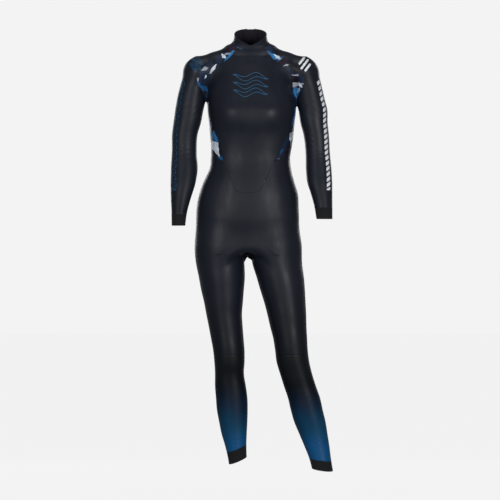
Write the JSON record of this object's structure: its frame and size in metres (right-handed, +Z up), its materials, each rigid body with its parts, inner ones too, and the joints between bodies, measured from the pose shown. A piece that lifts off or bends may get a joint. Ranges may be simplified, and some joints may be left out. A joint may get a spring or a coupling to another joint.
{
  "type": "wetsuit",
  "caption": "Full-length smoothskin wetsuit, standing as if worn, with a back zip, raglan sleeves, printed side panels, ribbed cuffs and a closing collar flap.",
  "frame": {"origin": "middle of the neck opening, level with the base of the collar", "axes": "+Z up, the chest faces -Y, +X to the wearer's left"},
  "size_m": [0.5164, 0.2386, 1.4104],
  "materials": {
    "smoothskin": "satin",
    "printed_smoothskin": "satin",
    "graded_smoothskin": "satin",
    "knit": "matte",
    "lining": "matte",
    "coil_plastic": "matte",
    "slider_metal": "satin"
  },
  "bodies": {
    "suit": {"chest_panel": "smoothskin", "hip_panel_front": "smoothskin", "seat_panel_right": "smoothskin", "seat_panel_left": "smoothskin", "back_panel_right": "smoothskin", "back_panel_left": "smoothskin", "sleeve_right": "smoothskin", "sleeve_left": "smoothskin", "collar": "smoothskin", "side_panel_right": "printed_smoothskin", "side_panel_left": "printed_smoothskin", "shin_panel_right": "graded_smoothskin", "shin_panel_left": "graded_smoothskin", "wrist_cuff_right": "knit", "wrist_cuff_left": "knit", "ankle_cuff_right": "knit", "ankle_cuff_left": "knit", "collar_loop_patch": "knit", "zip_tape_right": "knit", "zip_tape_left": "knit", "zip_underlay": "knit", "collar_lining": "lining", "zip_coil_right": "coil_plastic", "zip_coil_left": "coil_plastic", "zip_bottom_stop": "slider_metal", "zip_top_stop_right": "slider_metal", "zip_top_stop_left": "slider_metal"},
    "zip_slider": {"zip_slider_body": "slider_metal", "zip_slider_bridge": "slider_metal"},
    "zip_tab": {"zip_pull_tab": "slider_metal"},
    "flap": {"collar_flap": "smoothskin", "flap_hook_patch": "knit"}
  },
  "joints": [
    {"name": "zip_slide", "type": "slide", "parent": "suit", "child": "zip_slider", "axis": [0, -0.0235, -0.9997], "range_m": [0, 0.32]},
    {"name": "zip_pull_swing", "type": "hinge", "parent": "zip_slider", "child": "zip_tab", "pos_m": [0, 0.0928, -0.052], "axis": [1, 0, 0], "range_deg": [0, 160]},
    {"name": "collar_flap_peel", "type": "hinge", "parent": "suit", "child": "flap", "pos_m": [0.0176, 0.064, 0.0284], "axis": [0.018, 0.0565, -0.9982], "range_deg": [0, 110]}
  ]
}
